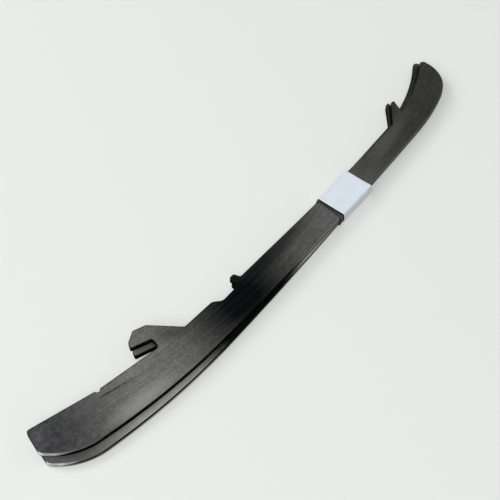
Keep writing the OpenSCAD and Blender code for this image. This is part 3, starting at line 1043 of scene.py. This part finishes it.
print("sheets follow", ring_points, "points")

# %% [markdown]
# ## Tape
#
# The tape was wound a little askew, so it shows as a wedge at the label's heel edge: a millimetre
# at the holder side and more than twice that at the ice side, where it also stands off the steel in
# a small pucker. A plain band would hide that it is tape, so edge and lift are both uneven.

# %% Tape sheet
label_low, label_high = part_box("label_band")
tape_low, tape_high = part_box("binding_tape")
tape_thickness = 0.3 * MM
tape_columns = 40
tape_show_ice = 2.4 * MM
tape_show_holder = 1.0 * MM
tape_wave = 0.12 * MM
tape_wave_rate = 0.9
tape_wave_seed = 3.1
pucker_height = 0.4 * MM
pucker_reach = 2.2 * MM
pucker_level = 0.7
pucker_ripple = 0.6
pucker_rates = (0.8, 0.7)
pucker_seed = 7.7
ice_facing = (-0.2, -0.9)


def soft_step(low, high, value):
    """0 below low, 1 above high, and a smooth rise between."""
    t = min(max((value - low) / (high - low), 0), 1)
    return t * t * (3 - 2 * t)


def tape_edges(i, spot):
    """The tape's slanted, wavy free edge and its hidden one."""
    share = (spot.x - tape_low.y) / (tape_high.y - tape_low.y)
    show = tape_show_ice + (tape_show_holder - tape_show_ice) * share
    wave = tape_wave * noise.noise((spot.x / MM * tape_wave_rate, spot.y / MM * tape_wave_rate,
                                    tape_wave_seed))
    return label_low.x - show + wave, tape_high.x


def tape_lift(i, across, x, spot, out):
    """The pucker of the free edge on the ice side."""
    ice_side = soft_step(*ice_facing, out.x)
    free = soft_step(label_low.x, label_low.x - pucker_reach, x)
    ripple = noise.noise((x / MM * pucker_rates[0], spot.y / MM * pucker_rates[1], pucker_seed))
    return ice_side * free * pucker_height * (pucker_level + pucker_ripple * ripple)


tape = bent_sheet("wound_tape", tape_ring, ring_points, tape_columns, tape_edges, tape_lift,
                  tape_thickness)
print("tape with", len(tape.data.polygons), "faces")

# %% [markdown]
# ## Label
#
# A paper label goes once round the tape, and its tail is stuck down over its start on the holder
# side. Paper that is folded over steel keeps soft folds and shallow waves, bulges a little where it
# spans from one runner to the other on the ice side, and has a lifted corner.

# %% Label sheet
paper_thickness = 0.13 * MM
label_columns = 48
overlap_steps = 24
tail_climb = (ring_points - 8, ring_points + 4)
tail_rise = 1.15
paper_wave = 0.03 * MM
wave_rates = (0.25, 0.06)
wave_seed = 9.2
edge_wave = 0.05 * MM
edge_wave_rate = 0.11
edge_wave_seeds = (1.7, 0.3)
corner_lift = 0.22 * MM
corner_columns = (0.86, 1.0)
corner_span = (-4.0 * MM, -7.3 * MM)
side_bulge = 0.55 * MM


def label_edges(i, spot):
    """Both edges of the label, cut almost straight."""
    ragged = edge_wave * noise.noise((i * edge_wave_rate, *edge_wave_seeds))
    return label_low.x + ragged, label_high.x + ragged


def label_lift(i, across, x, spot, out):
    """The tail over the start, the waves, the bulge on the ice side and the lifted corner."""
    tail = soft_step(*tail_climb, i) * paper_thickness * tail_rise
    wave = paper_wave * noise.noise((x / MM * wave_rates[0], i * wave_rates[1], wave_seed))
    near_corner = soft_step(*corner_columns, across) * soft_step(*corner_span, spot.x)
    rise = (spot.y - label_low.z) / (label_high.z - label_low.z)
    bulge = side_bulge * soft_step(*ice_facing, out.x) * math.sin(math.pi * min(max(rise, 0), 1))
    return tail + wave - paper_wave + bulge + corner_lift * near_corner * max(out.y, 0.0)


label = bent_sheet("paper_label", label_ring, ring_points + overlap_steps, label_columns,
                   label_edges, label_lift, paper_thickness)
print("label with", len(label.data.polygons), "faces")

# %% [markdown]
# ## Paper and tape finishes
#
# Coated label paper is white with a cold tint, slightly uneven and nearly matt. The tape is a dark
# satin film. Both get clouds for handling marks, and a fine bump for fibre or film.

# %% Sheet material
roughness_spread = 0.08
grain_depth = 0.02 * MM


def sheet_material(name, clean, handled, cloud_size, soiling, roughness, grain_size, grain, marks=None):
    """A thin, slightly soiled sheet: two colours mixed by clouds, with its own marks and a fine bump."""
    material, tree, shader = new_material(name)
    laid = laid_straight(tree)
    clouds = place_group(tree, clouds_group, laid, Size=cloud_size)["Mask"]
    colour = layered(tree, clean, [(clouds, soiling, handled)])
    if marks:
        colour = marks(tree, laid, colour)
    tree.links.new(colour, shader.inputs["Base Color"])
    fibre = place(tree, "ShaderNodeTexNoise", {"Vector": laid, "Scale": 1 / grain_size, "Detail": 3.0})
    rough = ramp(tree, fibre.outputs[0], 0.0, 1.0, roughness - roughness_spread,
                 roughness + roughness_spread)
    tree.links.new(rough, shader.inputs["Roughness"])
    bump = place(tree, "ShaderNodeBump",
                 {"Height": fibre.outputs[0], "Strength": grain, "Distance": grain_depth})
    tree.links.new(bump.outputs[0], shader.inputs["Normal"])
    return material


paper = sheet_material("label_paper", tone(0.76, 0.83, 0.91), tone(0.66, 0.72, 0.79), cloud_size=6.0,
                       soiling=0.5, roughness=0.55, grain_size=0.35, grain=0.25)
label.data.materials.append(paper)
print("paper on the label")

# %% [markdown]
# Along its free edge and in the corner under the label's edge, the tape is darkened with painted
# shade. The first is a mask along the slanted edge that the tape was given above, and the second
# one along the label's.

# %% Tape material
# Near-black tone of the painted shade along the tape's edges.
edge_shade_tone = tone(0.003)
free_edge_shade = (0.55, 0.25)
label_edge_shade = (label_low.x / MM - 1.5, label_low.x / MM - 1.05)


def tape_edge_shade(tree, laid, colour):
    """Painted shade along the tape's free edge and in the corner under the label's edge."""
    spot = axes(tree, laid)
    share = ramp(tree, spot["Y"], tape_low.y / MM, tape_high.y / MM)
    free_edge = ramp(tree, share, 0.0, 1.0, (label_low.x - tape_show_ice) / MM,
                     (label_low.x - tape_show_holder) / MM)
    from_edge = math_node(tree, "SUBTRACT", spot["X"], free_edge)
    rimmed = mixed(tree, ramp(tree, from_edge, *free_edge_shade), colour, edge_shade_tone)
    return mixed(tree, ramp(tree, spot["X"], *label_edge_shade), rimmed, edge_shade_tone)


film = sheet_material("tape_film", tone(0.060, 0.049, 0.048), tone(0.10, 0.085, 0.083), cloud_size=2.0,
                      soiling=0.8, roughness=0.5, grain_size=0.5, grain=0.35, marks=tape_edge_shade)
tape.data.materials.append(film)
print("film on the tape")

# %% [markdown]
# ## Hand over
#
# Both sheets are wrapped round the upper runner and move with its body, while the lower runner can
# turn inside them. They stand for the plain bands of the exact model.

# %% Wraps on their body
for piece, node, slot in ((label, "label_band", "label_paper"), (tape, "binding_tape", "binding_tape")):
    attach(piece, "banded_runner")
    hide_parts(node)
print("wraps ride on the upper runner's body")
